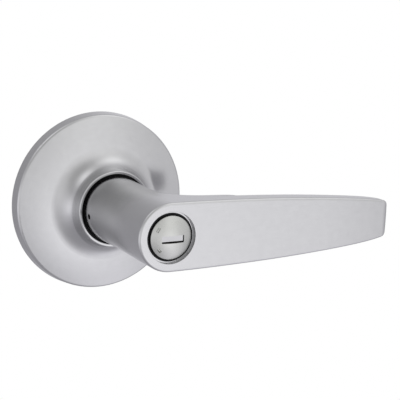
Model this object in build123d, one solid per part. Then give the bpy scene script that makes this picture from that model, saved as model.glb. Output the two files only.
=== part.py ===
from build123d import *
import os
from math import cos, radians, sin, sqrt

# Outside half of a tubular privacy lever set, in millimetres.
# The origin is where the turning axis meets the door face: +X runs along the blade,
# +Y goes into the door and +Z is up. Depths are values of Y, so the room side is negative.
# Angles run anticlockwise from +X as seen from the room.

# Rose: the drawn cover that hides the mounting plate
ROSE_RADIUS = 33.35
ROSE_CUT_BACK = 5.0
ROSE_SHEET = 1.0
ROSE_SHOULDER = (32.75, -4.75)
ROSE_DOME_MIDDLE = (25.0, -6.95)
ROSE_DOME_FOOT = (15.75, -8.35)
ROSE_SHOULDER_FILLET = 1.3
COLLAR_FILLET = 8.0
COLLAR_RADIUS = 14.0
COLLAR_FRONT = -17.4
COLLAR_BORE = 12.95
LIP_FILLET = 0.35

# Lever: neck, flare and blade in one casting
NECK_RADIUS = 11.85
NECK_FOOT_RADIUS = 12.15
NECK_FOOT_FRONT = -18.0
NECK_TAPER_FRONT = -32.0
NECK_BACK = -9.5
FACE_DEPTH = -62.9
FACE_EASE_START = 62.0
FACE_EASE = 0.7
BLADE_LENGTH = 88.9
BLADE_HALF_WIDTHS = ((25.0, 11.45), (50.0, 10.4), (70.0, 8.95))
BLADE_TIP_SLOPE = -0.24
TIP_CORNER = (88.3, 6.5)
TIP_CORNER_FILLET = 2.3
TIP_EDGE_START = 86.2
TIP_EDGE_RADIUS = 3.2
BLADE_BACK = ((-13.0, -54.0), (40.0, -55.7), (89.4, -56.7))
FRONT_EDGE = 0.9
BACK_EDGE = 1.3
FLARE_RADIUS = 16.0
FLARE_FOOT = -54.2
FLARE_STEPS = (0, 16, 32, 48, 64, 80)
FLARE_END = (24.0, -56.2)
FLARE_INSIDE = -3.0

# Spindle tube, on which the lever slides and is caught
TUBE_RADIUS = 8.0
TUBE_BORE = 6.8
TUBE_FRONT = -40.0
TUBE_BACK = 8.0
TUBE_FLAT = 7.4
LEVER_BORE = 8.05
LEVER_BORE_FRONT = -42.0
KEY_WIDTH = 2.9
KEY_INNER = 6.9
KEY_BACK = -30.0

# Hub that carries the tube
SLEEVE_BORE = 8.08
SLEEVE_RADIUS = 10.5
SLEEVE_FRONT = -8.8
SLEEVE_FLANGE = 12.1
SLEEVE_BACK = 0.8
BUSHING_WALL = 0.75
NECK_BUSHING_FRONT = -16.0
NECK_BUSHING_FLANGE = 1.0

# Mounting plate and its two posts
PLATE_RADIUS = 30.5
PLATE_FRONT = -2.2
PLATE_BACK = -0.2
POST_SPACING = 38.1
POST_RADIUS = 3.8
POST_END = 24.0
POST_SPIGOT = 2.9
POST_SWAGE = 3.7
POST_SWAGE_DEPTH = 0.8
THREAD_RADIUS = 1.75
THREAD_DEPTH = 16.0

# Spring strips that grip the rose
STRIP_INNER = 23.5
STRIP_BEND = 30.9
STRIP_CREST = 31.5
STRIP_CREST_DEPTH = -1.4
STRIP_SHEET = 0.45
STRIP_LIFT = 0.1
STRIP_WIDTH = 6.4
STRIP_ANGLES = (90, 210, 330)

# Spring cup, return spring and the driver that winds it
CUP_RADIUS = 17.2
CUP_SHEET = 0.8
CUP_FRONT = -7.35
EAR_RADIUS = 21.0
EAR_ANGLES = (30, 150, 270)
EAR_WIDTH = 6.0
RIVET_RADIUS = 1.4
RIVET_HEAD = 2.3
RIVET_HEAD_HEIGHT = 0.7
RIVET_HEAD_SLOPE = 0.5
LUG_INNER = 12.5
LUG_OUTER = 13.7
LUG_HALF_ANGLE = 9.0
LUG_FRONT = -5.9
STOP_LUG_FRONT = -2.6
TRAVEL = 45.0
STOP_CLEARANCE_ANGLE = 0.4
LUG_CLEARANCE = 0.2
SPRING_POST_INNER = 10.9
SPRING_POST_OUTER = 12.0
SPRING_POST_FRONT = -6.0
SPRING_RADIUS = 15.5
SPRING_WIRE = 0.65
SPRING_PITCH = 1.36
SPRING_EXTRA_TURNS = 1
SPRING_FRONT = -5.7
SPRING_LEG_ANGLE = 12.4
SPRING_LEG_TIP = 11.2
DRIVER_RADIUS = 14.2
DRIVER_FRONT = 1.0
DRIVER_BACK = 2.6
CLIP_FRONT = 4.1
CLIP_THICKNESS = 0.8
CLIP_GROOVE = 7.35
CLIP_RADIUS = 10.2
CLIP_GAP = 3.0
WASHER_RADIUS = 11.0
WASHER_THICKNESS = 0.5

# Square drive spindle
SPINDLE_SIDE = 7.94
SPINDLE_BORE_SIDE = 5.5
SPINDLE_CORNER = 0.8
SPINDLE_END = 50.0
PLUG_FRONT = 2.2

# Lever catch, pressed in through the release hole in the neck
CATCH_ANGLE = 185.0
CATCH_DEPTH = -21.4
CATCH_RADIUS = 1.85
CATCH_TIP = 9.9
CATCH_SHOULDER = 6.1
CATCH_FLANGE = 2.6
CATCH_FOOT = 5.2
CATCH_POCKET = 10.2
RELEASE_HOLE = 1.0
CATCH_LEVER_CLEARANCE = 0.25
CATCH_TUBE_CLEARANCE = 0.15
RING_SPRING_RADIUS = 5.9
RING_SPRING_SHEET = 0.4
RING_SPRING_SHIFT = 0.75
RING_SPRING_WIDTH = 4.0
RING_SPRING_GAP = 2.5

# Turn button in the front of the lever
BUTTON_BORE = 8.35
BUTTON_BORE_BACK = -52.0
COUNTERBORE = 8.95
COUNTERBORE_BACK = -61.7
MIDDLE_BORE = 6.4
BUSHING_RECESS = 7.7
BUSHING_RECESS_BACK = -58.7
BUSHING_BORE = 5.1
CAP_RADIUS = 7.5
CAP_RIM = -62.45
CAP_TOP = -64.65
CAP_RIM_FILLET = 0.3
CAP_BACK = -58.9
CAP_UNDERSIDE = -62.65
CAP_CAVITY = 6.6
COIN_SLOT_LENGTH = 8.1
COIN_SLOT_WIDTH = 2.5
COIN_SLOT_SHIFT = -0.2
COIN_SLOT_CORNER = 0.2
CRIMP_RADIUS = 5.9
CRIMP_WIDTH = 0.9
CRIMP_LENGTH = 1.7
CRIMP_SINK = 0.2
CRIMP_ANGLES = (149, 220)
BARREL_RADIUS = 5.0
BARREL_BACK = -50.4
BARREL_GROOVE = 4.4
BUTTON_CLIP_GAP = 2.0
BUTTON_CLIP_CLEARANCE = 0.3
BAR_THICKNESS = 2.0
BAR_FRONT = -63.6
BAR_HEAD_WIDTH = 7.7
BAR_BUTTON_WIDTH = 6.0
BAR_SHANK_WIDTH = 4.5
BAR_HEAD_BACK = -58.8
BAR_SHANK_FRONT = -45.0
BAR_END = 58.0

# Clearances between pieces
SLIP = 0.05
TOUCH = 0.02


def save(shape, node):
    export_step(shape, f"parts/{node}.step")


def lathe(*corners):
    """Solid turned about the lever's axis from (radius, depth) corners."""
    return revolve(make_face(Polyline(*corners, close=True)), Axis.Y)


def prism(sketch, back, front):
    """Straight solid between two depths, from a sketch in X and Z."""
    return extrude(Plane.XZ.offset(-back) * sketch, back - front)


def tube(outer, inner, back, front):
    return prism(Circle(outer) - Circle(inner), back, front)


def turned(shape, angle):
    """A shape built along +X, turned to an angle as seen from the room."""
    return Rot(0, -angle, 0) * shape


def at(radius, angle):
    return (radius * cos(radians(angle)), radius * sin(radians(angle)))


def sector(inner, outer, middle, half):
    """Part of a ring, half degrees each side of its middle."""
    start = middle - half
    end = middle + half
    edges = [
        ThreePointArc(at(outer, start), at(outer, middle), at(outer, end)),
        Line(at(outer, end), at(inner, end)),
        ThreePointArc(at(inner, end), at(inner, middle), at(inner, start)),
        Line(at(inner, start), at(outer, start)),
    ]
    return make_face(edges)


def radial_rod(radius, inner, outer, depth):
    """Rod that points out along +X, between two distances from the axis."""
    return Pos((inner + outer) / 2, depth, 0) * Rot(0, 90, 0) * Cylinder(radius, outer - inner)


def rose():
    back = ROSE_CUT_BACK
    inside = (-back, COLLAR_FRONT)
    edges = [
        Polyline(inside, (-back, back), (ROSE_RADIUS, back), (ROSE_RADIUS, 0), ROSE_SHOULDER),
        ThreePointArc(ROSE_SHOULDER, ROSE_DOME_MIDDLE, ROSE_DOME_FOOT),
        Polyline(ROSE_DOME_FOOT, (COLLAR_RADIUS, COLLAR_FRONT), inside),
    ]
    form = make_face(edges)
    form = fillet(form.vertices().sort_by_distance(ROSE_SHOULDER)[0], ROSE_SHOULDER_FILLET)
    form = fillet(form.vertices().sort_by_distance(ROSE_DOME_FOOT)[0], COLLAR_FILLET)
    width = ROSE_RADIUS - COLLAR_BORE
    window = Pos(COLLAR_BORE + width / 2, COLLAR_FRONT / 2) * Rectangle(width, -COLLAR_FRONT)
    sheet = (form - offset(form, -ROSE_SHEET)) & window
    lip = sheet.vertices().sort_by(Axis.Y)[:2]
    return revolve(fillet(lip, LIP_FILLET), Axis.Y)


def blade_plan():
    """Outline of the lever's face: round hub, bowed sides and a blunt tip."""
    ends = ((1, 0), (1, BLADE_TIP_SLOPE))
    upper = Spline((0, NECK_RADIUS), *BLADE_HALF_WIDTHS, TIP_CORNER, tangents=ends)
    tip_x, tip_z = TIP_CORNER
    edges = [
        upper,
        ThreePointArc((tip_x, tip_z), (BLADE_LENGTH, 0), (tip_x, -tip_z)),
        mirror(upper, about=Plane.XZ),
        ThreePointArc((0, -NECK_RADIUS), (-NECK_RADIUS, 0), (0, NECK_RADIUS)),
    ]
    plan = make_face(edges)
    return fillet(plan.vertices().sort_by(Axis.X)[-2:], TIP_CORNER_FILLET)


def blade():
    """Blade with its face easing back at the tip and its edges rounded."""
    hub_x, hub_back = BLADE_BACK[0]
    tip_x, tip_back = BLADE_BACK[-1]
    ease_start = (FACE_EASE_START, FACE_DEPTH)
    ease_end = (TIP_EDGE_START, FACE_DEPTH + FACE_EASE)
    edge_end = (TIP_EDGE_START + TIP_EDGE_RADIUS, FACE_DEPTH + FACE_EASE + TIP_EDGE_RADIUS)
    edges = [
        Polyline((hub_x, hub_back), (hub_x, FACE_DEPTH), ease_start),
        TangentArc(ease_start, ease_end, tangent=(1, 0)),
        RadiusArc(ease_end, edge_end, -TIP_EDGE_RADIUS),
        Line(edge_end, (tip_x, tip_back)),
        ThreePointArc(*reversed(BLADE_BACK)),
    ]
    side = extrude(make_face(edges), 2 * NECK_RADIUS, both=True)
    solid = side & prism(blade_plan(), NECK_BACK, FACE_DEPTH - 1)
    back_face = solid.faces().sort_by(Axis.Y)[-1]
    solid = fillet(back_face.edges(), BACK_EDGE)
    flat, eased = solid.faces().sort_by(Axis.Y)[:2]
    rim = [edge for edge in flat.edges() + eased.edges() if abs(edge.center().Z) > 1]
    rim += [edge for edge in flat.edges() if edge.center().X < 0]
    return fillet(rim, FRONT_EDGE)


def flare_section(reach, depth):
    """Neck outline stretched towards the blade, at one depth."""
    above = (reach, NECK_RADIUS)
    below = (reach, -NECK_RADIUS)
    sides = Polyline(above, (FLARE_INSIDE, NECK_RADIUS), (FLARE_INSIDE, -NECK_RADIUS), below)
    nose = ThreePointArc(below, (reach + NECK_RADIUS, 0), above)
    return Plane.XZ.offset(-depth) * make_face([sides, nose])


def flare():
    """Concave sweep from the neck into the back of the blade."""
    sections = []
    for angle in FLARE_STEPS:
        reach = FLARE_RADIUS * (1 - cos(radians(angle)))
        depth = FLARE_FOOT + FLARE_RADIUS * (1 - sin(radians(angle)))
        sections.append(flare_section(reach, depth))
    sections.append(flare_section(*FLARE_END))
    top = FLARE_FOOT + FLARE_RADIUS
    return loft(sections) & prism(blade_plan(), top, FACE_DEPTH + FRONT_EDGE)


def neck():
    """Round neck, slightly thicker where it enters the collar."""
    front = FACE_DEPTH + 2 * FRONT_EDGE
    corners = [
        (0, NECK_BACK),
        (NECK_FOOT_RADIUS, NECK_BACK),
        (NECK_FOOT_RADIUS, NECK_FOOT_FRONT),
        (NECK_RADIUS, NECK_TAPER_FRONT),
        (NECK_RADIUS, front),
        (0, front),
    ]
    return lathe(*corners)


def lever():
    body = neck() + blade() + flare()
    body -= prism(Circle(COUNTERBORE), COUNTERBORE_BACK, FACE_DEPTH - 1)
    body -= prism(Circle(BUTTON_BORE), BUTTON_BORE_BACK, COUNTERBORE_BACK)
    body -= prism(Circle(MIDDLE_BORE), LEVER_BORE_FRONT, BUTTON_BORE_BACK)
    body -= prism(Circle(LEVER_BORE), NECK_BACK, LEVER_BORE_FRONT)
    key_length = KEY_BACK - LEVER_BORE_FRONT
    key_middle = (KEY_BACK + LEVER_BORE_FRONT) / 2
    key_height = LEVER_BORE + 1 - KEY_INNER
    body += Pos(KEY_INNER + key_height / 2, key_middle, 0) * Box(key_height, key_length, KEY_WIDTH)
    pocket = radial_rod(CATCH_RADIUS + CATCH_LEVER_CLEARANCE, TUBE_BORE, CATCH_POCKET, CATCH_DEPTH)
    release = radial_rod(RELEASE_HOLE, CATCH_POCKET, NECK_FOOT_RADIUS + 1, CATCH_DEPTH)
    return body - turned(pocket + release, CATCH_ANGLE)


def spindle_tube():
    body = tube(TUBE_RADIUS, TUBE_BORE, TUBE_BACK, TUBE_FRONT)
    flats = Rectangle(4 * TUBE_RADIUS, 2 * TUBE_FLAT)
    sides = prism(Circle(2 * TUBE_RADIUS) - flats, TUBE_BACK, SLEEVE_BACK + SLIP)
    body -= sides
    body -= tube(2 * TUBE_RADIUS, CLIP_GROOVE, CLIP_FRONT + CLIP_THICKNESS, CLIP_FRONT)
    slot_length = KEY_BACK + 2 * SLIP - TUBE_FRONT
    slot = Box(2 * TUBE_RADIUS, slot_length, KEY_WIDTH + 2 * SLIP)
    body -= Pos(TUBE_RADIUS, TUBE_FRONT + slot_length / 2, 0) * slot
    hole = radial_rod(CATCH_RADIUS + CATCH_TUBE_CLEARANCE, CATCH_FOOT, TUBE_RADIUS + 1, CATCH_DEPTH)
    return body - turned(hole, CATCH_ANGLE)


def hub_sleeve():
    corners = [
        (SLEEVE_BORE, SLEEVE_FRONT),
        (SLEEVE_RADIUS, SLEEVE_FRONT),
        (SLEEVE_RADIUS, PLATE_BACK),
        (SLEEVE_FLANGE, PLATE_BACK),
        (SLEEVE_FLANGE, SLEEVE_BACK),
        (SLEEVE_BORE, SLEEVE_BACK),
    ]
    return lathe(*corners)


def neck_bushing():
    """Black guide ring in the collar, seen as the dark line round the neck."""
    bore = NECK_FOOT_RADIUS + 2 * SLIP
    wall = bore + BUSHING_WALL
    flange = wall + NECK_BUSHING_FLANGE
    foot = CUP_FRONT - TOUCH
    corners = [
        (bore, foot),
        (bore, NECK_BUSHING_FRONT),
        (wall, NECK_BUSHING_FRONT),
        (wall, foot - 1),
        (flange, foot - 1),
        (flange, foot),
    ]
    return lathe(*corners)


def post_hole():
    """Swaged hole for a post, as a solid at the post's place."""
    corners = [
        (0, PLATE_FRONT),
        (POST_SWAGE, PLATE_FRONT),
        (POST_SPIGOT, PLATE_FRONT + POST_SWAGE_DEPTH),
        (POST_SPIGOT, PLATE_BACK + 1),
        (0, PLATE_BACK + 1),
    ]
    return Pos(POST_SPACING / 2, 0, 0) * lathe(*corners)


def mounting_plate():
    body = tube(PLATE_RADIUS, SLEEVE_RADIUS + TOUCH, PLATE_BACK, PLATE_FRONT)
    slot_half = TRAVEL + LUG_HALF_ANGLE + STOP_CLEARANCE_ANGLE
    for angle in (90, 270):
        slot = sector(LUG_INNER - LUG_CLEARANCE, LUG_OUTER + LUG_CLEARANCE, angle, slot_half)
        body -= prism(slot, PLATE_BACK, PLATE_FRONT)
    for angle in (0, 180):
        body -= turned(post_hole(), angle)
    for angle in EAR_ANGLES:
        hole = prism(Circle(RIVET_RADIUS), PLATE_BACK, PLATE_FRONT)
        body -= turned(Pos(EAR_RADIUS, 0, 0) * hole, angle)
    post = sector(SPRING_POST_INNER, SPRING_POST_OUTER, 90, LUG_HALF_ANGLE)
    return body + prism(post, PLATE_FRONT, SPRING_POST_FRONT)


def mounting_post():
    """Riveted post, tapped from the door side for the long mounting screw."""
    corners = [
        (0, PLATE_FRONT),
        (POST_SWAGE, PLATE_FRONT),
        (POST_SPIGOT, PLATE_FRONT + POST_SWAGE_DEPTH),
        (POST_SPIGOT, PLATE_BACK),
        (POST_RADIUS, PLATE_BACK),
        (POST_RADIUS, POST_END),
        (THREAD_RADIUS, POST_END),
        (THREAD_RADIUS, POST_END - THREAD_DEPTH),
        (0, POST_END - THREAD_DEPTH - THREAD_RADIUS),
    ]
    return Pos(POST_SPACING / 2, 0, 0) * lathe(*corners)


def spring_cup():
    corners = [
        (SLEEVE_RADIUS + TOUCH, CUP_FRONT),
        (CUP_RADIUS, CUP_FRONT),
        (CUP_RADIUS, PLATE_FRONT),
        (CUP_RADIUS - CUP_SHEET, PLATE_FRONT),
        (CUP_RADIUS - CUP_SHEET, CUP_FRONT + CUP_SHEET),
        (SLEEVE_RADIUS + TOUCH, CUP_FRONT + CUP_SHEET),
    ]
    body = lathe(*corners)
    length = EAR_RADIUS - CUP_RADIUS + CUP_SHEET / 2
    end = Pos(EAR_RADIUS, 0)
    ear = Pos(EAR_RADIUS - length / 2, 0) * Rectangle(length, EAR_WIDTH) + end * Circle(EAR_WIDTH / 2)
    ear -= end * Circle(RIVET_RADIUS)
    for angle in EAR_ANGLES:
        body += turned(prism(ear, PLATE_FRONT, PLATE_FRONT - CUP_SHEET), angle)
    return body


def cup_rivets():
    front = PLATE_FRONT - CUP_SHEET
    corners = [
        (0, front - RIVET_HEAD_HEIGHT),
        (RIVET_HEAD - RIVET_HEAD_SLOPE, front - RIVET_HEAD_HEIGHT),
        (RIVET_HEAD, front),
        (RIVET_RADIUS, front),
        (RIVET_RADIUS, PLATE_BACK),
        (RIVET_HEAD, PLATE_BACK),
        (RIVET_HEAD - RIVET_HEAD_SLOPE, PLATE_BACK + RIVET_HEAD_HEIGHT),
        (0, PLATE_BACK + RIVET_HEAD_HEIGHT),
    ]
    rivet = Pos(EAR_RADIUS, 0, 0) * lathe(*corners)
    return Compound([turned(rivet, angle) for angle in EAR_ANGLES])


def rose_clips():
    """Spring strips round the rim of the plate, which grip the rose."""
    front = PLATE_FRONT - STRIP_SHEET
    foot = PLATE_BACK - STRIP_LIFT
    corners = [
        (STRIP_INNER, front),
        (STRIP_BEND + STRIP_LIFT, front),
        (STRIP_CREST + STRIP_SHEET, STRIP_CREST_DEPTH),
        (STRIP_BEND + STRIP_SHEET + STRIP_LIFT, foot),
        (STRIP_BEND + STRIP_LIFT, foot),
        (STRIP_CREST, STRIP_CREST_DEPTH),
        (STRIP_BEND, PLATE_FRONT),
        (STRIP_INNER, PLATE_FRONT),
    ]
    strip = extrude(make_face(Polyline(*corners, close=True)), STRIP_WIDTH / 2, both=True)
    return Compound([turned(strip, angle) for angle in STRIP_ANGLES])


def spring_driver():
    """Keyed disc whose lugs pass through the plate to wind the spring and meet the stops."""
    key = Circle(TUBE_RADIUS + SLIP) & Rectangle(4 * TUBE_RADIUS, 2 * (TUBE_FLAT + SLIP))
    body = prism(Circle(DRIVER_RADIUS) - key, DRIVER_BACK, DRIVER_FRONT)
    body += prism(sector(LUG_INNER, LUG_OUTER, 90, LUG_HALF_ANGLE), DRIVER_FRONT, LUG_FRONT)
    body += prism(sector(LUG_INNER, LUG_OUTER, 270, LUG_HALF_ANGLE), DRIVER_FRONT, STOP_LUG_FRONT)
    return body


def return_spring():
    """Torsion spring whose two legs straddle the driver's lug and the fixed post."""
    turns = SPRING_EXTRA_TURNS + 1 - 2 * SPRING_LEG_ANGLE / 360
    coil = Helix(SPRING_PITCH, SPRING_PITCH * turns, SPRING_RADIUS)
    wire = sweep(Plane(origin=coil @ 0, z_dir=coil % 0) * Circle(SPRING_WIRE), coil, is_frenet=True)
    spring = turned(Pos(0, SPRING_FRONT, 0) * Rot(-90, 0, 0) * wire, 90 - SPRING_LEG_ANGLE)
    back = SPRING_FRONT + SPRING_PITCH * turns
    for angle, depth in ((90 - SPRING_LEG_ANGLE, SPRING_FRONT), (90 + SPRING_LEG_ANGLE, back)):
        leg = radial_rod(SPRING_WIRE, SPRING_LEG_TIP, SPRING_RADIUS, depth)
        spring += turned(leg + Pos(SPRING_RADIUS, depth, 0) * Sphere(SPRING_WIRE), angle)
    return spring


def spring_washer():
    """Dished washer that takes up the end play of the driver."""
    inner = TUBE_RADIUS + 0.2
    front = DRIVER_BACK + SLIP
    back = CLIP_FRONT - SLIP
    corners = [
        (inner, back - WASHER_THICKNESS),
        (WASHER_RADIUS, front),
        (WASHER_RADIUS, front + WASHER_THICKNESS),
        (inner, back),
    ]
    return lathe(*corners)


def driver_clip():
    ring = Circle(CLIP_RADIUS) - Circle(CLIP_GROOVE + TOUCH)
    ring -= Pos(0, -CLIP_RADIUS) * Rectangle(CLIP_GAP, 2 * CLIP_RADIUS)
    return prism(ring, CLIP_FRONT + CLIP_THICKNESS - TOUCH, CLIP_FRONT + TOUCH)


def thrust_washer():
    return tube(NECK_RADIUS - 0.25, TUBE_RADIUS + 0.1, SLEEVE_FRONT - SLIP, NECK_BACK + SLIP)


def spindle_plug():
    """Plug staked in the back of the tube, which holds the square spindle."""
    hole = SPINDLE_SIDE + 2 * TOUCH
    return prism(Circle(TUBE_BORE - TOUCH) - Rectangle(hole, hole), TUBE_BACK, PLUG_FRONT)


def drive_spindle():
    square = RectangleRounded(SPINDLE_SIDE, SPINDLE_SIDE, SPINDLE_CORNER)
    hollow = Rectangle(SPINDLE_BORE_SIDE, SPINDLE_BORE_SIDE)
    return prism(square - hollow, SPINDLE_END, PLUG_FRONT)


def lever_catch():
    body = radial_rod(CATCH_RADIUS, CATCH_SHOULDER, CATCH_TIP, CATCH_DEPTH)
    body += radial_rod(CATCH_FLANGE, CATCH_FOOT, CATCH_SHOULDER, CATCH_DEPTH)
    return turned(body, CATCH_ANGLE)


def catch_spring():
    """Split ring inside the tube, off centre so that it presses the catch outwards."""
    ring = Circle(RING_SPRING_RADIUS) - Circle(RING_SPRING_RADIUS - RING_SPRING_SHEET)
    ring -= Pos(0, -RING_SPRING_RADIUS) * Rectangle(RING_SPRING_GAP, RING_SPRING_GAP)
    body = prism(ring, CATCH_DEPTH + RING_SPRING_WIDTH / 2, CATCH_DEPTH - RING_SPRING_WIDTH / 2)
    return turned(Pos(-RING_SPRING_SHIFT, 0, 0) * body, CATCH_ANGLE)


def button_bushing():
    outer = BUTTON_BORE - TOUCH
    back = BUTTON_BORE_BACK - SLIP
    corners = [
        (BUSHING_BORE, back),
        (outer, back),
        (outer, COUNTERBORE_BACK),
        (BUSHING_RECESS, COUNTERBORE_BACK),
        (BUSHING_RECESS, BUSHING_RECESS_BACK),
        (BUSHING_BORE, BUSHING_RECESS_BACK),
    ]
    return lathe(*corners)


def coin_slot():
    slot = RectangleRounded(COIN_SLOT_LENGTH, COIN_SLOT_WIDTH, COIN_SLOT_CORNER)
    return Pos(0, COIN_SLOT_SHIFT) * slot


def button_cap():
    """Domed metal face of the turn button, with its coin slot and two crimps."""
    rise = CAP_RIM - CAP_TOP
    dome = (CAP_RADIUS**2 + rise**2) / (2 * rise)
    middle = CAP_RADIUS / 2
    middle_depth = CAP_TOP + dome - sqrt(dome**2 - middle**2)
    rim = (CAP_RADIUS, CAP_RIM)
    shell = [
        rim,
        (CAP_RADIUS, CAP_BACK),
        (CAP_CAVITY, CAP_BACK),
        (CAP_CAVITY, CAP_UNDERSIDE + 1),
        (CAP_CAVITY - 1, CAP_UNDERSIDE),
        (0, CAP_UNDERSIDE),
        (0, CAP_TOP),
    ]
    face = ThreePointArc((0, CAP_TOP), (middle, middle_depth), rim)
    profile = make_face([face, Polyline(*shell)])
    profile = fillet(profile.vertices().sort_by_distance(rim)[0], CAP_RIM_FILLET)
    body = revolve(profile, Axis.Y)
    body -= prism(coin_slot(), CAP_BACK, CAP_TOP - 1)
    depth = CAP_TOP + dome - sqrt(dome**2 - CRIMP_RADIUS**2)
    crimp = Pos(CRIMP_RADIUS, depth + CRIMP_SINK, 0) * Cylinder(CRIMP_WIDTH / 2, CRIMP_LENGTH)
    for angle in CRIMP_ANGLES:
        body -= turned(crimp, angle)
    return body


def button_core():
    """Black carrier inside the cap, with a pocket for the head of the bar."""
    gap = SLIP
    edge = CAP_CAVITY - gap
    corners = [
        (0, CAP_UNDERSIDE + gap),
        (edge - 1, CAP_UNDERSIDE + gap),
        (edge, CAP_UNDERSIDE + 1 + gap),
        (edge, CAP_BACK),
        (BARREL_RADIUS, CAP_BACK),
        (BARREL_RADIUS, BUTTON_BORE_BACK),
        (BARREL_GROOVE, BUTTON_BORE_BACK),
        (BARREL_GROOVE, BUTTON_BORE_BACK + CLIP_THICKNESS),
        (BARREL_RADIUS, BUTTON_BORE_BACK + CLIP_THICKNESS),
        (BARREL_RADIUS, BARREL_BACK),
        (0, BARREL_BACK),
    ]
    body = lathe(*corners)
    body -= prism(coin_slot(), BAR_HEAD_BACK + gap, CAP_TOP)
    waist = Rectangle(BAR_BUTTON_WIDTH + 2 * gap, BAR_THICKNESS + 2 * gap)
    return body - prism(waist, BARREL_BACK, CAP_TOP)


def button_clip():
    ring = Circle(MIDDLE_BORE - BUTTON_CLIP_CLEARANCE) - Circle(BARREL_GROOVE + TOUCH)
    ring -= Pos(0, -MIDDLE_BORE) * Rectangle(BUTTON_CLIP_GAP, 2 * MIDDLE_BORE)
    return prism(ring, BUTTON_BORE_BACK + CLIP_THICKNESS - TOUCH, BUTTON_BORE_BACK + TOUCH)


def turn_bar():
    """Flat bar that carries the button's turn through the spindle to the far side."""
    head = BAR_HEAD_WIDTH / 2
    waist = BAR_BUTTON_WIDTH / 2
    shank = BAR_SHANK_WIDTH / 2
    side = [
        (head, BAR_FRONT),
        (head, BAR_HEAD_BACK),
        (waist, BAR_HEAD_BACK),
        (waist, BAR_SHANK_FRONT),
        (shank, BAR_SHANK_FRONT + 1),
        (shank, BAR_END),
    ]
    outline = Polyline(*side, *[(-x, y) for x, y in reversed(side)], close=True)
    return extrude(make_face(outline), BAR_THICKNESS / 2, both=True)


PIECES = {
    "rose": rose,
    "mounting_plate": mounting_plate,
    "spring_cup": spring_cup,
    "cup_rivets": cup_rivets,
    "rose_clips": rose_clips,
    "hub_sleeve": hub_sleeve,
    "neck_bushing": neck_bushing,
    "return_spring": return_spring,
    "lever": lever,
    "spindle_tube": spindle_tube,
    "spring_driver": spring_driver,
    "spring_washer": spring_washer,
    "driver_clip": driver_clip,
    "thrust_washer": thrust_washer,
    "spindle_plug": spindle_plug,
    "drive_spindle": drive_spindle,
    "lever_catch": lever_catch,
    "catch_spring": catch_spring,
    "button_bushing": button_bushing,
    "button_cap": button_cap,
    "button_core": button_core,
    "button_clip": button_clip,
    "turn_bar": turn_bar,
}

os.makedirs("parts", exist_ok=True)
for node, make in PIECES.items():
    save(make(), node)
for node, angle in (("right_post", 0), ("left_post", 180)):
    save(turned(mounting_post(), angle), node)
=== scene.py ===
"""Finishes and fine pieces of a sprung door lever handle, in a plain pale studio."""

from math import asin, atan2, ceil, cos, floor, pi, radians, sin, tau

import bpy
from bpy.props import FloatProperty, FloatVectorProperty, PointerProperty
from mathutils import Euler, Matrix, Vector


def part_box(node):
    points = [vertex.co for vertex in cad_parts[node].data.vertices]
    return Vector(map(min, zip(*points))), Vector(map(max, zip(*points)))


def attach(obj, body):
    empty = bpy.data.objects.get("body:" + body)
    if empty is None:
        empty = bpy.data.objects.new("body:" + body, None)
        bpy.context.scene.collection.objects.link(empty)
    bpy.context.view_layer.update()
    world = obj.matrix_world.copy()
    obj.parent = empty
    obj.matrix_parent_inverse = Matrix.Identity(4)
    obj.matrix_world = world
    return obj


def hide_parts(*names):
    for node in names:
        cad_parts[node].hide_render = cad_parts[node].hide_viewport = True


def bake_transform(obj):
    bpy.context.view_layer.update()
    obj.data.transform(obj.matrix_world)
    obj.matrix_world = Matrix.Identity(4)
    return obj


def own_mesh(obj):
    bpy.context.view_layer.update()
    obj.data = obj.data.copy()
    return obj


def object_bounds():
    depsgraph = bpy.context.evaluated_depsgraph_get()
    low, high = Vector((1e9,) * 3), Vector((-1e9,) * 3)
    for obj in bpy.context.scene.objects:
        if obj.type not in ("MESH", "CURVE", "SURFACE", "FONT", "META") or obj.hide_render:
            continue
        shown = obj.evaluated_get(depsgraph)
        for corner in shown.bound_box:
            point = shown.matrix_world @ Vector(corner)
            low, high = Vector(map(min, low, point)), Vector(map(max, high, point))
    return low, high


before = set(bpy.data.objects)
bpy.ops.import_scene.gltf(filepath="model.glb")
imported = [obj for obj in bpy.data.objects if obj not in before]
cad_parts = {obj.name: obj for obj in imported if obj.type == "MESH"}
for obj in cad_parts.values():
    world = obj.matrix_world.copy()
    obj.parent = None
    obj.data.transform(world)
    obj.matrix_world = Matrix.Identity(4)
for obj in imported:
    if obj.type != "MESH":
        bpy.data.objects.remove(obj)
CAD_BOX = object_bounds()

bl_info = {
    "name": "Door Lever Handle",
    "version": (1, 0, 0),
    "blender": (4, 5, 0),
    "location": "3D View > Sidebar > Lever Handle",
    "description": "Finishes the pieces of a sprung door lever handle and sets up its studio",
    "category": "Object",
}

MM = 0.001

# Sockets of the Mix node when it blends colours
MIX_FIRST = 6
MIX_SECOND = 7
MIX_RESULT = 2


# Shader graphs


class Value:
    """A shader socket; arithmetic on it adds Math nodes to its graph."""

    def __init__(self, graph, socket):
        self.graph = graph
        self.socket = socket

    def _math(self, operation, *terms):
        return self.graph.node("ShaderNodeMath", {"operation": operation}, dict(enumerate(terms)))

    def __add__(self, other):
        return self._math("ADD", self, other)

    def __radd__(self, other):
        return self._math("ADD", other, self)

    def __sub__(self, other):
        return self._math("SUBTRACT", self, other)

    def __rsub__(self, other):
        return self._math("SUBTRACT", other, self)

    def __mul__(self, other):
        return self._math("MULTIPLY", self, other)

    def __rmul__(self, other):
        return self._math("MULTIPLY", other, self)

    def __truediv__(self, other):
        return self._math("DIVIDE", self, other)

    def __pow__(self, other):
        return self._math("POWER", self, other)


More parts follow.
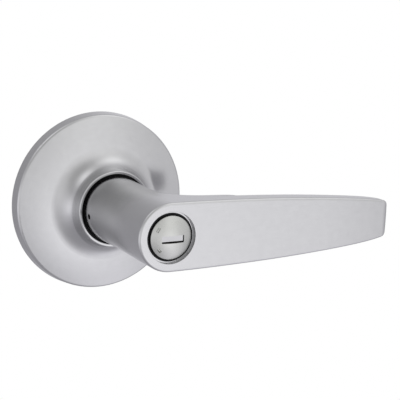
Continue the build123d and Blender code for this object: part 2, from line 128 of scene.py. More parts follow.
class Graph:
    """The node tree of a material or of the world."""

    def __init__(self, owner):
        owner.use_nodes = True
        self.owner = owner
        self.tree = owner.node_tree
        self.tree.nodes.clear()

    def node(self, kind, settings=None, inputs=None, output=0):
        """Adds a node and returns one of its outputs, or several where output is a tuple."""
        made = self.tree.nodes.new(kind)
        for key, setting in (settings or {}).items():
            setattr(made, key, setting)
        for key, value in (inputs or {}).items():
            if isinstance(value, Value):
                self.tree.links.new(value.socket, made.inputs[key])
            else:
                made.inputs[key].default_value = value
        if not made.outputs:
            return None
        if isinstance(output, tuple):
            return [Value(self, made.outputs[key]) for key in output]
        return Value(self, made.outputs[output])

    def place(self):
        """Where a point is on the piece, in metres; it stays with the piece as it moves."""
        point = self.node("ShaderNodeTexCoord", output="Object")
        return self.node("ShaderNodeSeparateXYZ", None, {0: point}, output=("X", "Y", "Z"))

    def vector(self, x, y, z):
        """One vector of three numbers."""
        return self.node("ShaderNodeCombineXYZ", None, {"X": x, "Y": y, "Z": z})

    def noise(self, x, y, z, detail=3.0, roughness=0.5):
        """Noise from 0 to 1 whose features are about one unit of the given numbers across."""
        inputs = {"Vector": self.vector(x, y, z), "Scale": 1.0, "Detail": detail, "Roughness": roughness}
        return self.node("ShaderNodeTexNoise", None, inputs, output="Fac")

    def speckle(self, width, detail=3.0, roughness=0.5):
        """Noise from 0 to 1 whose features are about a width across in every direction."""
        x, y, z = self.place()
        return self.noise(x / width, y / width, z / width, detail, roughness)

    def fade(self, level, start, end):
        """0 up to start, 1 from end on, and even between them."""
        inputs = {"Value": level, "From Min": start, "From Max": end}
        return self.node("ShaderNodeMapRange", None, inputs)

    def mix(self, share, first, second):
        """A colour between two, by share."""
        inputs = {"Factor": share, MIX_FIRST: first, MIX_SECOND: second}
        return self.node("ShaderNodeMix", {"data_type": "RGBA"}, inputs, output=MIX_RESULT)

    def bump(self, height, depth, below=None):
        """Normal of a surface whose height goes from 0 to 1 over a depth in metres."""
        inputs = {"Height": height, "Strength": 1.0, "Distance": depth}
        if below is not None:
            inputs["Normal"] = below
        return self.node("ShaderNodeBump", None, inputs)

    def finish(self, **sockets):
        """Ends a material with a Principled shader and returns the material."""
        inputs = {name.replace("_", " "): value for name, value in sockets.items()}
        shader = self.node("ShaderNodeBsdfPrincipled", None, inputs)
        self.node("ShaderNodeOutputMaterial", None, {"Surface": shader})
        return self.owner


def new_graph(name):
    """The graph of a new material."""
    return Graph(bpy.data.materials.new(name))


def shade(colour, share):
    """A colour made lighter or darker, as the four numbers of a socket."""
    return tinted(colour, (share, share, share))


def tinted(colour, shares):
    """A colour with each channel taken times its own share, as the four numbers of a socket."""
    return (*(min(channel * share, 1.0) for channel, share in zip(colour, shares)), 1.0)


# Finishes

# How wide the features of each finish are
POLISH_WAVE = 9 * MM
POLISH_CLOUD = 3 * MM
METAL_GRAIN = 0.12 * MM
BRUSH_LINE = 0.11 * MM
BRUSH_LENGTH = 6 * MM
CAP_LINE = 0.09 * MM
CAP_LENGTH = 3 * MM
TURNED_LINE = 0.16 * MM
BAR_LINE = 0.12 * MM
BAR_LENGTH = 8 * MM
ZINC_CRYSTAL = 2.2 * MM
ZINC_CAST = 14 * MM
ZINC_GRAIN = 0.2 * MM
TEMPER_FILM = 5 * MM
STEEL_PITS = 0.15 * MM
MOULD_GRAIN = 0.18 * MM
FLOW_WIDTH = 6 * MM
FLOW_DEPTH = 2 * MM

# How high the bumps of each finish are
WAVE_HEIGHT = 0.02 * MM
ZINC_HEIGHT = 0.006 * MM
PIT_HEIGHT = 0.008 * MM
NYLON_HEIGHT = 0.01 * MM
ACETAL_HEIGHT = 0.004 * MM

# How far roughness strays
BRUSHED_WANDER = 0.05
TURNED_WANDER = 0.1
GRAIN_WANDER = 0.02
ZINC_WANDER = 0.1
TEMPER_WANDER = 0.2
MOULD_WANDER = 0.15
FLOW_WANDER = 0.1
CRYSTAL_ROUGHNESS = 0.14

# How far colour strays: by a share, by a tint, or over the stretch of a noise where it turns
TONE_SPREAD = 0.1
CLOUD_SHARE = 0.5
CRYSTAL_SHARE = 0.35
CRYSTAL_SHADE = 0.8
ZINC_YELLOW = (1.03, 1.0, 0.9)
ZINC_BLUE = (0.94, 1.0, 1.04)
ZINC_TURNS = (0.38, 0.62)
TEMPER_BLUE = (0.85, 0.95, 1.15)
TEMPER_STRAW = (1.15, 1.02, 0.82)
TEMPER_TURNS = (0.4, 0.6)

# Where the lever's finish changes: blade to neck, painted shade on the neck towards the collar, and the
# button's bore
BLADE_BACK = -56 * MM
NECK_FRONT = -50 * MM
# Painted shade: the neck darkens from here towards the collar, standing in for shade that the light doesn't
# give
PAINTED_SHADE_START = -40 * MM
PAINTED_SHADE_END = -18 * MM
PAINTED_SHADE_SHARE = 0.74
BORE_RADIUS = 8.95 * MM
BORE_MARGIN = 0.075 * MM

LINE_BREAKS_PER_RADIAN = 2.0
PLASTIC_SPECULAR = 0.15


def from_axis(x, z):
    """Distance of a point from the lever's axis."""
    return (x * x + z * z) ** 0.5


def wander(noise, reach):
    """A noise from 0 to 1 as a change either way, by half the reach at most."""
    return (noise - 0.5) * reach


def mottled(graph, share, colour):
    """A colour that goes from a little darker to a little lighter by share."""
    return graph.mix(share, shade(colour, 1 - TONE_SPREAD), shade(colour, 1 + TONE_SPREAD))


def worn_metal(graph, colour, roughness, lines, depth, line_wander=BRUSHED_WANDER, painted_shade=None):
    """Metal with fine lines, soft polishing waves and uneven gloss, with painted shade where a share of it
    is given.
    """
    wave = graph.speckle(POLISH_WAVE, detail=2.0)
    cloud = graph.speckle(POLISH_CLOUD, detail=5.0, roughness=0.6)
    grain = graph.speckle(METAL_GRAIN, detail=2.0)
    scratches = graph.bump(lines, depth, graph.bump(wave, WAVE_HEIGHT))
    tone = mottled(graph, cloud * CLOUD_SHARE + lines * (1 - CLOUD_SHARE), colour)
    # Painted shade: the colour darkens by the given share
    if painted_shade is not None:
        tone = graph.mix(painted_shade, tone, shade(colour, PAINTED_SHADE_SHARE))
    gloss = roughness + wander(cloud, line_wander) + wander(lines, line_wander) + wander(grain, GRAIN_WANDER)
    return graph.finish(Base_Color=tone, Metallic=1.0, Roughness=gloss, Normal=scratches)


def circular_lines(graph, width):
    """Lines that run round the lever's axis."""
    x, y, z = graph.place()
    turn = graph.node("ShaderNodeMath", {"operation": "ARCTAN2"}, {0: z, 1: x})
    breaks = turn * LINE_BREAKS_PER_RADIAN
    return graph.noise(from_axis(x, z) / width, y / width, breaks, detail=4.0, roughness=0.65)


def straight_lines(graph, width, length):
    """Lines that run along X."""
    x, y, z = graph.place()
    return graph.noise(x / length, y / width, z / width, detail=4.0, roughness=0.65)


def rose_chrome(look):
    """Satin chrome, brushed in circles while the rose was spun."""
    graph = new_graph("satin_chrome_rose")
    lines = circular_lines(graph, BRUSH_LINE)
    return worn_metal(graph, look.chrome_colour, look.chrome_roughness, lines, look.brush_depth)


def lever_chrome(look):
    """Satin chrome, brushed along the blade and round the neck, rough in the button's bore, and with painted
    shade on the neck towards the collar.
    """
    graph = new_graph("satin_chrome_lever")
    round_neck = circular_lines(graph, BRUSH_LINE)
    along_blade = straight_lines(graph, BRUSH_LINE, BRUSH_LENGTH)
    x, y, z = graph.place()
    lines = graph.mix(graph.fade(y, BLADE_BACK, NECK_FRONT), along_blade, round_neck)
    # Painted shade on the neck, darkest by the collar
    painted_shade = graph.fade(y, PAINTED_SHADE_START, PAINTED_SHADE_END)
    near_bore = {0: from_axis(x, z), 1: BORE_RADIUS, 2: BORE_MARGIN}
    bore = graph.node("ShaderNodeMath", {"operation": "COMPARE"}, near_bore)
    gloss = look.chrome_roughness + bore * look.bore_roughness
    return worn_metal(graph, look.chrome_colour, gloss, lines, look.brush_depth, painted_shade=painted_shade)


def button_nickel(look):
    """Satin nickel, a little warmer than the lever."""
    graph = new_graph("button_nickel")
    lines = straight_lines(graph, CAP_LINE, CAP_LENGTH)
    return worn_metal(graph, look.button_colour, look.button_roughness, lines, look.brush_depth)


def zinc_plate(look):
    """Zinc plate on pressed steel, with its pale crystals and a faint yellow and blue cast."""
    graph = new_graph("zinc_plate")
    inputs = {"Vector": graph.vector(*graph.place()), "Scale": 1 / ZINC_CRYSTAL}
    crystal = graph.node("ShaderNodeTexVoronoi", {"feature": "F1"}, inputs, output="Color")
    facet = graph.node("ShaderNodeSeparateColor", None, {0: crystal}, output="Red")
    cast = graph.fade(graph.speckle(ZINC_CAST, detail=4.0), *ZINC_TURNS)
    grain = graph.speckle(ZINC_GRAIN)
    clear = graph.mix(cast, tinted(look.zinc_colour, ZINC_YELLOW), tinted(look.zinc_colour, ZINC_BLUE))
    tone = graph.mix(facet * CRYSTAL_SHARE, clear, shade(look.zinc_colour, CRYSTAL_SHADE))
    gloss = look.zinc_roughness + facet * CRYSTAL_ROUGHNESS + wander(grain, ZINC_WANDER)
    bumps = graph.bump(grain, ZINC_HEIGHT)
    return graph.finish(Base_Color=tone, Metallic=1.0, Roughness=gloss, Normal=bumps)


def bright_steel(look):
    """Cold drawn steel, with lines round each turned piece."""
    graph = new_graph("bright_steel")
    lines = circular_lines(graph, TURNED_LINE)
    depth = 2 * look.brush_depth
    return worn_metal(graph, look.steel_colour, look.steel_roughness, lines, depth, TURNED_WANDER)


def turn_bar_steel(look):
    """Flat steel bar, with lines along its length."""
    graph = new_graph("bar_steel")
    x, y, z = graph.place()
    lines = graph.noise(x / BAR_LINE, y / BAR_LENGTH, z / BAR_LINE)
    depth = 2 * look.brush_depth
    return worn_metal(graph, look.steel_colour, look.bar_roughness, lines, depth, TURNED_WANDER)


def spring_steel(look):
    """Oil-tempered steel, dark with a blue and straw temper film."""
    graph = new_graph("spring_steel")
    film = graph.speckle(TEMPER_FILM, detail=4.0)
    pits = graph.speckle(STEEL_PITS)
    blued = tinted(look.spring_colour, TEMPER_BLUE)
    straw = tinted(look.spring_colour, TEMPER_STRAW)
    tone = graph.mix(graph.fade(film, *TEMPER_TURNS), blued, straw)
    gloss = look.spring_roughness + wander(film, TEMPER_WANDER) + wander(pits, TEMPER_WANDER)
    bumps = graph.bump(pits, PIT_HEIGHT)
    return graph.finish(Base_Color=tone, Metallic=1.0, Roughness=gloss, Normal=bumps)


def moulded(name, colour, roughness, height):
    """Moulded plastic, with the fine grain of its tool and slight flow marks."""
    graph = new_graph(name)
    x, y, z = graph.place()
    grain = graph.speckle(MOULD_GRAIN)
    flow = graph.noise(x / FLOW_WIDTH, y / FLOW_DEPTH, z / FLOW_WIDTH)
    gloss = roughness + wander(grain, MOULD_WANDER) + wander(flow, FLOW_WANDER)
    return graph.finish(
        Base_Color=mottled(graph, flow, colour), Metallic=0.0, Roughness=gloss,
        Specular_IOR_Level=PLASTIC_SPECULAR, Normal=graph.bump(grain, height),
    )


# Mesh helpers


def mesh_object(name, points, faces):
    """A new mesh object, linked to the scene."""
    mesh = bpy.data.meshes.new(name)
    mesh.from_pydata([tuple(point) for point in points], [], faces)
    mesh.validate()
    made = bpy.data.objects.new(name, mesh)
    bpy.context.scene.collection.objects.link(made)
    return made


def smooth_by_angle(piece, angle=radians(35)):
    """Smooth shading that keeps edges sharper than an angle."""
    mesh = piece.data
    mesh.polygons.foreach_set("use_smooth", [True] * len(mesh.polygons))
    mesh.set_sharp_from_angle(angle=angle)
    mesh.update()


def skin(rings, closed_ends=True):
    """Points and faces of a solid through rings that all have the same number of points."""
    count = len(rings[0])
    points = [point for ring in rings for point in ring]
    faces = []
    for row in range(len(rings) - 1):
        for side in range(count):
            here = row * count + side
            beside = row * count + (side + 1) % count
            faces.append((here, here + count, beside + count, beside))
    if closed_ends:
        faces.append(tuple(range(count)))
        faces.append(tuple(reversed(range(len(points) - count, len(points)))))
    return points, faces


def sweep(path, profile, outward):
    """Rings of a profile carried along a path; outward(point) is the profile's first axis there."""
    rings = []
    for index, point in enumerate(path):
        before = path[max(index - 1, 0)]
        after = path[min(index + 1, len(path) - 1)]
        along = (after - before).normalized()
        side = outward(point)
        side = (side - along * side.dot(along)).normalized()
        other = along.cross(side)
        rings.append([point + side * u + other * v for u, v in profile])
    return rings


def on_axis(radius, angle, depth):
    """A point round the lever's axis; the angle runs anticlockwise from +X as seen from the room."""
    return Vector((radius * cos(angle), depth, radius * sin(angle)))


def circle(radius, depth, sides):
    """A ring of points round the lever's axis."""
    return [on_axis(radius, tau * side / sides, depth) for side in range(sides)]


def dress(node, material):
    """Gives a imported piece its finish."""
    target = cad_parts[node]
    target.data.materials.clear()
    target.data.materials.append(material)


# Pieces

# How finely the curved pieces are divided: steps of a path, sides of a round and steps of a thread turn
LEG_STEPS = 4
BEND_STEPS = 6
COIL_STEPS = 160
WIRE_SIDES = 12
RING_STEPS = 96
POST_SIDES = 48
THREAD_STEPS = 10

# Shapes of the spring, the posts and the flanks of their threads
SPRING_TURNS = 2
HEAD_HEIGHT = 0.8 * MM
SPIGOT_LENGTH = 2 * MM
CHAMFER = 0.3 * MM
FLANK_SLOPE = 1.35
CREST_FLAT = 0.15


def spring_leg(size, radius, angle, way, depth):
    """Centreline of one leg, from its tip to where its bend meets the coil, which lies way round."""
    tip = size.spring_leg_tip
    bend = size.spring_bend
    knee = radius - bend
    leg = [on_axis(tip + (knee - tip) * step / LEG_STEPS, angle, depth) for step in range(LEG_STEPS)]
    for step in range(BEND_STEPS + 1):
        share = step / BEND_STEPS * pi / 2
        turn = way * bend / radius * (1 - cos(share))
        leg.append(on_axis(knee + bend * sin(share), angle + turn, depth))
    return leg


def wound_path(size, radius, front, back):
    """Centreline of the return spring: a leg with its bend, the coil and the same again."""
    first = pi / 2 - size.spring_leg_angle
    last = pi / 2 + size.spring_leg_angle - tau * SPRING_TURNS
    swing = size.spring_bend / radius
    coil = []
    for step in range(1, COIL_STEPS):
        share = step / COIL_STEPS
        angle = first - swing - (first - last - 2 * swing) * share
        coil.append(on_axis(radius, angle, front + (back - front) * share))
    front_leg = spring_leg(size, radius, first, -1, front)
    back_leg = spring_leg(size, radius, last, 1, back)
    return [*front_leg, *coil, *reversed(back_leg)]


def wound_spring(name, size, low, high):
    """Return spring of round wire, whose coil fills a box."""
    wire = size.spring_wire
    path = wound_path(size, high.x - wire, low.y + wire, high.y - wire)
    turns = [tau * side / WIRE_SIDES for side in range(WIRE_SIDES)]
    section = [(wire * cos(turn), wire * sin(turn)) for turn in turns]
    spring = mesh_object(name, *skin(sweep(path, section, lambda point: Vector((0, 1, 0)))))
    smooth_by_angle(spring)
    return spring


def strip_section(half_sheet, half_width):
    """Section of a thin strip whose four corners are cut off by half its thickness."""
    flat = half_sheet / 2
    side = half_width - flat
    return [
        (-half_sheet, -side), (-half_sheet, side), (-flat, half_width), (flat, half_width),
        (half_sheet, side), (half_sheet, -side), (flat, -half_width), (-flat, -half_width),
    ]


def split_ring(name, size, low, high):
    """Split ring of thin strip in a box, the point farthest from the catch, and the catch's way in."""
    radius = (high.x - low.x) / 2
    middle = Vector(((low.x + high.x) / 2, (low.y + high.y) / 2, low.z + radius))
    press = Vector((-middle.x, 0, -middle.z)).normalized()
    half_sheet = size.ring_sheet / 2
    mean_radius = radius - half_sheet
    half_gap = asin(size.ring_gap / 2 / mean_radius)
    start = atan2(press.z, press.x) - pi / 2 + half_gap
    turn = (tau - 2 * half_gap) / RING_STEPS
    path = [middle + on_axis(mean_radius, start + turn * step, 0) for step in range(RING_STEPS + 1)]
    section = strip_section(half_sheet, (high.y - low.y) / 2)
    ring = mesh_object(name, *skin(sweep(path, section, lambda point: point - middle)))
    smooth_by_angle(ring)
    return ring, middle - press * radius, press


def post_rings(size, radius, head, mouth):
    """Rings over the outside of a post, from its riveted head to the mouth of its hole."""
    seat = head + SPIGOT_LENGTH
    outline = (
        (size.post_swage, head),
        (size.post_spigot, head + HEAD_HEIGHT),
        (size.post_spigot, seat),
        (radius - CHAMFER, seat),
        (radius, seat + CHAMFER),
        (radius, mouth - 2 * CHAMFER),
        (radius - 2 * CHAMFER, mouth),
        (size.thread_minor + size.thread_height + CHAMFER, mouth),
    )
    return [circle(ring_radius, depth, POST_SIDES) for ring_radius, depth in outline]


def thread_rings(size, mouth):
    """Rings down a tapped hole, whose thread runs out over its last two turns."""
    rings = []
    step = size.thread_pitch / THREAD_STEPS
    for row in range(ceil(size.thread_length / step)):
        down = row * step
        height = size.thread_height * min(1.0, (size.thread_length - down) / (2 * size.thread_pitch))
        ring = []
        for side in range(POST_SIDES):
            phase = row / THREAD_STEPS + side / POST_SIDES
            flank = abs(2 * (phase - floor(phase)) - 1)
            groove = min(max(FLANK_SLOPE * flank - CREST_FLAT, 0.0), 1.0)
            ring.append(on_axis(size.thread_minor + height * groove, tau * side / POST_SIDES, mouth - down))
        rings.append(ring)
    rings.append(circle(size.thread_minor, mouth - size.thread_length, POST_SIDES))
    return rings


def threaded_post(name, size, low, high):
    """Turned post that fills a box, with a swaged head and a tapped hole in its door end."""
    mouth = high.y - CHAMFER
    rings = post_rings(size, (high.z - low.z) / 2, low.y, high.y) + thread_rings(size, mouth)
    points, faces = skin(rings, closed_ends=False)
    last = len(points) - POST_SIDES
    head = len(points)
    drill_point = head + 1
    points.append(Vector((0, low.y, 0)))
    points.append(Vector((0, mouth - size.thread_length - size.thread_minor, 0)))
    for side in range(POST_SIDES):
        following = (side + 1) % POST_SIDES
        faces.append((head, side, following))
        faces.append((drill_point, last + following, last + side))
    middle = Vector(((low.x + high.x) / 2, 0, 0))
    post = mesh_object(name, [point + middle for point in points], faces)
    smooth_by_angle(post)
    return post


# Studio

CLIP_START = 10 * MM
SURROUND_ROWS = 24
SURROUND_SIDES = 48
WHITE = (1, 1, 1, 1)

# How much the light's tint grows downwards and towards the door
TINT_DOWN = 0.5
TINT_BEHIND = 0.3

# Soft light banks: direction, how narrow they are, and strength
LIGHT_BANKS = (
    ((0.3, -0.9, 0.5), 8, 0.52),  # room, above
    ((0.25, -0.9, -0.33), 9, 0.78),  # room, below
    ((0.5, -0.4, -0.8), 12, 0.5),  # floor
    ((-0.45, -0.85, 0.0), 10, 0.2),  # room, left
    ((-0.7, -0.75, 0.1), 6, 0.2),  # room, far left
    ((-0.95, -0.3, -0.2), 10, 0.35),  # left side
    ((-0.95, 0.2, -0.15), 14, 0.5),  # left side, by the door
    ((0.9, -0.35, 0.0), 8, 0.32),  # right side
    ((0.5, 0.85, 0.2), 8, 0.3),  # door side
    ((0.5, -0.1, 0.85), 8, 0.8),  # ceiling, right
    ((-0.5, 0.2, 0.8), 12, 0.7),  # ceiling, left
)


def white_glow():
    """Pale surface that shows pure white, as a backdrop lit from behind."""
    graph = new_graph("white_glow")
    glow = graph.node("ShaderNodeEmission", None, {"Color": WHITE, "Strength": 1.0})
    graph.node("ShaderNodeOutputMaterial", None, {"Surface": glow})
    return graph.owner


def make_backdrop(studio):
    """Pale floor and the pale surround behind it, both left out of the reflections."""
    height = CAD_BOX[0].z - studio.floor_drop
    reach = studio.backdrop_radius
    corners = ((-reach, -reach), (reach, -reach), (reach, reach), (-reach, reach))
    base = mesh_object("studio_floor", [(x, y, height) for x, y in corners], [(0, 1, 2, 3)])
    tilts = [pi * row / SURROUND_ROWS for row in range(1, SURROUND_ROWS)]
    rings = [circle(reach * sin(tilt), reach * cos(tilt), SURROUND_SIDES) for tilt in tilts]
    surround = mesh_object("studio_surround", *skin(rings))
    glow = white_glow()
    for piece in (base, surround):
        piece.data.materials.append(glow)
        piece.visible_diffuse = False
        piece.visible_glossy = False
        piece.visible_shadow = False


def light_all_round(scene, studio):
    """Soft light from a dim room with a few bright banks, faintly tinted from below and behind."""
    scene.world = bpy.data.worlds.new("light_tent")
    graph = Graph(scene.world)
    way = graph.node("ShaderNodeTexCoord", output="Generated")
    across, deep, high = graph.node("ShaderNodeSeparateXYZ", None, {0: way}, output=("X", "Y", "Z"))
    level = studio.room_level
    for direction, narrowness, strength in LIGHT_BANKS:
        x, y, z = Vector(direction).normalized()
        facing = across * x + deep * y + high * z
        falloff = graph.node("ShaderNodeMath", {"operation": "EXPONENT"}, {0: (facing - 1) * narrowness})
        level = level + strength * falloff
    share = graph.fade(0.5 - TINT_DOWN * high + TINT_BEHIND * deep, 0.0, 1.0)
    tint = graph.mix(share, WHITE, (*studio.low_tint, 1))
    tent = graph.node("ShaderNodeBackground", None, {"Color": tint, "Strength": level * studio.light})
    graph.node("ShaderNodeOutputWorld", None, {"Surface": tent})


def place_camera(scene, studio):
    """Camera that looks at its aim from the left and a little above."""
    facing = Euler((pi / 2 - studio.elevation, 0, -studio.azimuth)).to_matrix()
    turn = facing @ Matrix.Rotation(studio.roll, 3, "Z")
    stand = Vector(studio.aim) + turn @ Vector((0, 0, studio.distance))
    data = bpy.data.cameras.new("camera")
    data.lens = studio.lens
    data.clip_start = CLIP_START
    camera = bpy.data.objects.new("camera", data)
    scene.collection.objects.link(camera)
    camera.matrix_world = Matrix.Translation(stand) @ turn.to_4x4()
    scene.camera = camera


# User settings


class HandleLook(bpy.types.PropertyGroup):
    """Colours and gloss of the finishes."""

    chrome_colour: FloatVectorProperty(
        name="Chrome colour", description="Colour of the rose and the lever",
        subtype="COLOR", size=3, min=0, max=1, default=(0.57, 0.57, 0.577),
    )
    chrome_roughness: FloatProperty(
        name="Chrome roughness", description="How soft reflections are on the rose and the lever",
        subtype="FACTOR", min=0, max=1, default=0.18,
    )
    bore_roughness: FloatProperty(
        name="Bore roughness", description="How much rougher the bored hole round the button is",
        subtype="FACTOR", min=0, max=0.8, default=0.4,
    )
    brush_depth: FloatProperty(
        name="Brush depth", description="Depth of the brushed lines",
        subtype="DISTANCE", unit="LENGTH", min=0, max=MM, precision=6, default=0.0009 * MM,
    )
    button_colour: FloatVectorProperty(
        name="Button colour", description="Colour of the turn button's cap",
        subtype="COLOR", size=3, min=0, max=1, default=(0.585, 0.59, 0.57),
    )
    button_roughness: FloatProperty(
        name="Button roughness", description="How soft reflections are on the turn button",
        subtype="FACTOR", min=0, max=1, default=0.28,
    )
    nylon_colour: FloatVectorProperty(
        name="Nylon colour", description="Colour of the black guide rings and the button's carrier",
        subtype="COLOR", size=3, min=0, max=1, default=(0.008, 0.008, 0.009),
    )
    nylon_roughness: FloatProperty(
        name="Nylon roughness", description="How soft reflections are on the black nylon pieces",
        subtype="FACTOR", min=0, max=1, default=0.45,
    )
    acetal_colour: FloatVectorProperty(
        name="Acetal colour", description="Colour of the thrust washer",
        subtype="COLOR", size=3, min=0, max=1, default=(0.8, 0.79, 0.74),
    )
    acetal_roughness: FloatProperty(
        name="Acetal roughness", description="How soft reflections are on the thrust washer",
        subtype="FACTOR", min=0, max=1, default=0.35,
    )
    zinc_colour: FloatVectorProperty(
        name="Zinc colour", description="Colour of the plated pressings",
        subtype="COLOR", size=3, min=0, max=1, default=(0.66, 0.67, 0.68),
    )
    zinc_roughness: FloatProperty(
        name="Zinc roughness", description="How soft reflections are on the plated pressings",
        subtype="FACTOR", min=0, max=1, default=0.3,
    )
    steel_colour: FloatVectorProperty(
        name="Steel colour", description="Colour of the turned and drawn steel",
        subtype="COLOR", size=3, min=0, max=1, default=(0.55, 0.55, 0.56),
    )
    steel_roughness: FloatProperty(
        name="Steel roughness", description="How soft reflections are on the turned and drawn steel",
        subtype="FACTOR", min=0, max=1, default=0.3,
    )
    bar_roughness: FloatProperty(
        name="Bar roughness", description="How soft reflections are on the turn button's flat bar",
        subtype="FACTOR", min=0, max=1, default=0.32,
    )
    spring_colour: FloatVectorProperty(
        name="Spring colour", description="Colour of the springs and clips",
        subtype="COLOR", size=3, min=0, max=1, default=(0.3, 0.3, 0.31),
    )
    spring_roughness: FloatProperty(
        name="Spring roughness", description="How soft reflections are on the springs and clips",
        subtype="FACTOR", min=0, max=1, default=0.3,
    )


class HandleSize(bpy.types.PropertyGroup):
    """Sizes of the fine pieces that are made here."""

    spring_wire: FloatProperty(
        name="Spring wire", description="Radius of the return spring's wire",
        subtype="DISTANCE", unit="LENGTH", default=0.65 * MM,
    )
    spring_bend: FloatProperty(
        name="Spring bend", description="Radius at which the wire turns from the coil into a leg",
        subtype="DISTANCE", unit="LENGTH", default=1.3 * MM,
    )
    spring_leg_tip: FloatProperty(
        name="Spring leg tip", description="Distance of the leg's tip from the lever's axis",
        subtype="DISTANCE", unit="LENGTH", default=11.2 * MM,
    )
    spring_leg_angle: FloatProperty(
        name="Spring leg angle", description="Angle of each leg from the vertical",
        subtype="ANGLE", default=radians(12.4),
    )
    ring_gap: FloatProperty(
        name="Ring gap", description="Width of the split in the catch spring",
        subtype="DISTANCE", unit="LENGTH", default=2.5 * MM,
    )
    ring_sheet: FloatProperty(
        name="Ring sheet", description="Thickness of the catch spring",
        subtype="DISTANCE", unit="LENGTH", default=0.4 * MM,
    )
    catch_travel: FloatProperty(
        name="Catch travel", description="How far the pressed catch flattens its spring",
        subtype="DISTANCE", unit="LENGTH", default=2 * MM,
    )
    post_swage: FloatProperty(
        name="Post swage", description="Radius of a post's riveted head",
        subtype="DISTANCE", unit="LENGTH", default=3.7 * MM,
    )
    post_spigot: FloatProperty(
        name="Post spigot", description="Radius of a post where it passes through the plate",
        subtype="DISTANCE", unit="LENGTH", default=2.9 * MM,
    )
    thread_minor: FloatProperty(
        name="Thread minor radius", description="Radius to the crests of the tapped thread",
        subtype="DISTANCE", unit="LENGTH", default=1.75 * MM,
    )
    thread_height: FloatProperty(
        name="Thread height", description="Depth of the tapped thread",
        subtype="DISTANCE", unit="LENGTH", default=0.4 * MM,
    )
    thread_pitch: FloatProperty(
        name="Thread pitch", description="Advance of the tapped thread in one turn",
        subtype="DISTANCE", unit="LENGTH", default=0.794 * MM,
    )
    thread_length: FloatProperty(
        name="Thread length", description="Depth of the tapped hole",
        subtype="DISTANCE", unit="LENGTH", default=15.6 * MM,
    )


class HandleStudio(bpy.types.PropertyGroup):
    """Camera, floor and light."""

    aim: FloatVectorProperty(
        name="Aim", description="Point that the camera looks at",
        subtype="TRANSLATION", unit="LENGTH", size=3, default=(0.02517, -0.035, 0.00544),
    )
    distance: FloatProperty(
        name="Distance", description="Distance from the camera to its aim",
        subtype="DISTANCE", unit="LENGTH", default=0.43157,
    )
    azimuth: FloatProperty(
        name="Azimuth", description="How far the camera stands round to the left",
        subtype="ANGLE", default=radians(28.426),
    )
    elevation: FloatProperty(
        name="Elevation", description="How far the camera looks down",
        subtype="ANGLE", default=radians(12.055),
    )
    roll: FloatProperty(
        name="Roll", description="How far the camera leans to the left",
        subtype="ANGLE", default=radians(2.31),
    )
    lens: FloatProperty(
        name="Lens", description="Focal length on a 36 mm sensor",
        unit="CAMERA", default=108.11,
    )
    floor_drop: FloatProperty(
        name="Floor drop", description="Height of the handle above the floor",
        subtype="DISTANCE", unit="LENGTH", default=0.12,
    )
    backdrop_radius: FloatProperty(
        name="Backdrop radius", description="Distance to the pale surround",
        subtype="DISTANCE", unit="LENGTH", default=4.0,
    )
    light: FloatProperty(name="Light", description="Strength of the whole lighting", default=1.03)
    room_level: FloatProperty(name="Room level", description="Light between the banks", default=0.41)
    low_tint: FloatVectorProperty(
        name="Low tint", description="Colour of the light from below and behind",
        subtype="COLOR", size=3, min=0, max=2, default=(1.0, 0.988, 1.055),
    )


# Operators


class HANDLE_OT_rose(bpy.types.Operator):
    """Finishes the rose in satin chrome, brushed in circles"""

    bl_idname = "lever_handle.rose"
    bl_label = "Rose"

    def execute(self, context):
        dress("rose", rose_chrome(context.scene.handle_look))
        return {"FINISHED"}


class HANDLE_OT_lever(bpy.types.Operator):
    """Finishes the lever in satin chrome, brushed along the blade"""

    bl_idname = "lever_handle.lever"
    bl_label = "Lever"

    def execute(self, context):
        dress("lever", lever_chrome(context.scene.handle_look))
        return {"FINISHED"}


class HANDLE_OT_button(bpy.types.Operator):
    """Finishes the turn button's cap and its bar"""

    bl_idname = "lever_handle.button"
    bl_label = "Turn button"

    def execute(self, context):
        look = context.scene.handle_look
        dress("button_cap", button_nickel(look))
        dress("turn_bar", turn_bar_steel(look))
        return {"FINISHED"}


class HANDLE_OT_plastics(bpy.types.Operator):
    """Finishes the black nylon guides and the pale thrust washer; the neck's black guide ring also stands in
    for the deep shade in the gap round the neck
    """

    bl_idname = "lever_handle.plastics"
    bl_label = "Plastics"

    def execute(self, context):
        look = context.scene.handle_look
        nylon = moulded("black_nylon", look.nylon_colour, look.nylon_roughness, NYLON_HEIGHT)
        acetal = moulded("white_acetal", look.acetal_colour, look.acetal_roughness, ACETAL_HEIGHT)
        # The neck bushing's near-black is partly a real nylon ring and partly painted shade for the deep gap
        # between the neck and the collar
        for node in ("neck_bushing", "button_bushing", "button_core"):
            dress(node, nylon)
        dress("thrust_washer", acetal)
        return {"FINISHED"}


class HANDLE_OT_pressings(bpy.types.Operator):
    """Finishes the zinc plated pressings"""

    bl_idname = "lever_handle.pressings"
    bl_label = "Plated pressings"

    def execute(self, context):
        zinc = zinc_plate(context.scene.handle_look)
        for node in ("mounting_plate", "spring_cup", "cup_rivets", "spring_driver"):
            dress(node, zinc)
        return {"FINISHED"}


class HANDLE_OT_turned_steel(bpy.types.Operator):
    """Finishes the turned and drawn steel pieces"""

    bl_idname = "lever_handle.turned_steel"
    bl_label = "Turned steel"

    def execute(self, context):
        steel = bright_steel(context.scene.handle_look)
        for node in ("spindle_tube", "hub_sleeve", "spindle_plug", "drive_spindle", "lever_catch"):
            dress(node, steel)
        return {"FINISHED"}


class HANDLE_OT_clips(bpy.types.Operator):
    """Finishes the spring washer and the clips"""

    bl_idname = "lever_handle.clips"
    bl_label = "Clips"

    def execute(self, context):
        tempered = spring_steel(context.scene.handle_look)
        for node in ("spring_washer", "driver_clip", "button_clip", "rose_clips"):
            dress(node, tempered)
        return {"FINISHED"}


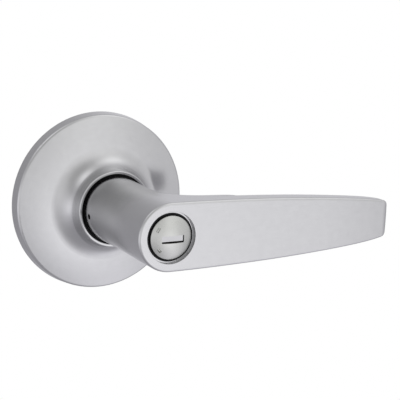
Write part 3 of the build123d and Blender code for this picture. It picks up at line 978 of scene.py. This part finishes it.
class HANDLE_OT_posts(bpy.types.Operator):
    """Makes the two posts with their tapped holes"""

    bl_idname = "lever_handle.posts"
    bl_label = "Threaded posts"

    def execute(self, context):
        steel = bright_steel(context.scene.handle_look)
        for node in ("right_post", "left_post"):
            post = threaded_post(f"{node}_threaded", context.scene.handle_size, *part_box(node))
            post.data.materials.append(steel)
            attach(post, "mount")
            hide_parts(node)
        return {"FINISHED"}


class HANDLE_OT_return_spring(bpy.types.Operator):
    """Winds the return spring, which twists between the plate and the driver"""

    bl_idname = "lever_handle.return_spring"
    bl_label = "Return spring"

    def execute(self, context):
        size = context.scene.handle_size
        low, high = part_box("return_spring")
        spring = wound_spring("return_spring_wound", size, low, high)
        spring.data.materials.append(spring_steel(context.scene.handle_look))
        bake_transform(spring)
        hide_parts("return_spring")
        return {"FINISHED"}


class HANDLE_OT_catch_spring(bpy.types.Operator):
    """Rolls the catch's split ring, a spring that flattens as the catch is pressed; here it is made only in
    its rest shape
    """

    bl_idname = "lever_handle.catch_spring"
    bl_label = "Catch spring"

    def execute(self, context):
        size = context.scene.handle_size
        low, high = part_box("catch_spring")
        ring, far_side, press = split_ring("catch_spring_ring", size, low, high)
        ring.data.materials.append(spring_steel(context.scene.handle_look))
        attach(ring, "handle")
        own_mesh(ring)
        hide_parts("catch_spring")
        return {"FINISHED"}


class HANDLE_OT_studio(bpy.types.Operator):
    """Sets up the pale floor, the soft lights and the camera"""

    bl_idname = "lever_handle.studio"
    bl_label = "Studio"

    def execute(self, context):
        studio = context.scene.handle_studio
        make_backdrop(studio)
        light_all_round(context.scene, studio)
        place_camera(context.scene, studio)
        context.scene.view_settings.view_transform = "Standard"
        return {"FINISHED"}


# Panel and registration

STEPS = (
    HANDLE_OT_rose,
    HANDLE_OT_lever,
    HANDLE_OT_button,
    HANDLE_OT_plastics,
    HANDLE_OT_pressings,
    HANDLE_OT_turned_steel,
    HANDLE_OT_clips,
    HANDLE_OT_posts,
    HANDLE_OT_return_spring,
    HANDLE_OT_catch_spring,
    HANDLE_OT_studio,
)


class HANDLE_PT_sidebar(bpy.types.Panel):
    """Lists the settings and the steps in the sidebar"""

    bl_label = "Lever Handle"
    bl_idname = "HANDLE_PT_sidebar"
    bl_space_type = "VIEW_3D"
    bl_region_type = "UI"
    bl_category = "Lever Handle"

    def draw(self, context):
        scene = context.scene
        for group in (scene.handle_look, scene.handle_size, scene.handle_studio):
            column = self.layout.box().column()
            for name in group.bl_rna.properties.keys():
                if name not in ("rna_type", "name"):
                    column.prop(group, name)
        for step in STEPS:
            self.layout.operator(step.bl_idname)


CLASSES = (HandleLook, HandleSize, HandleStudio, *STEPS, HANDLE_PT_sidebar)


def register():
    """Adds the settings, the steps and the sidebar to Blender."""
    for each in CLASSES:
        bpy.utils.register_class(each)
    bpy.types.Scene.handle_look = PointerProperty(type=HandleLook)
    bpy.types.Scene.handle_size = PointerProperty(type=HandleSize)
    bpy.types.Scene.handle_studio = PointerProperty(type=HandleStudio)


def unregister():
    """Takes them away again."""
    for name in ("handle_look", "handle_size", "handle_studio"):
        delattr(bpy.types.Scene, name)
    for each in reversed(CLASSES):
        bpy.utils.unregister_class(each)


def main():
    """Runs every step in order."""
    register()
    for step in STEPS:
        group, name = step.bl_idname.split(".")
        getattr(getattr(bpy.ops, group), name)()


if __name__ == "__main__":
    main()
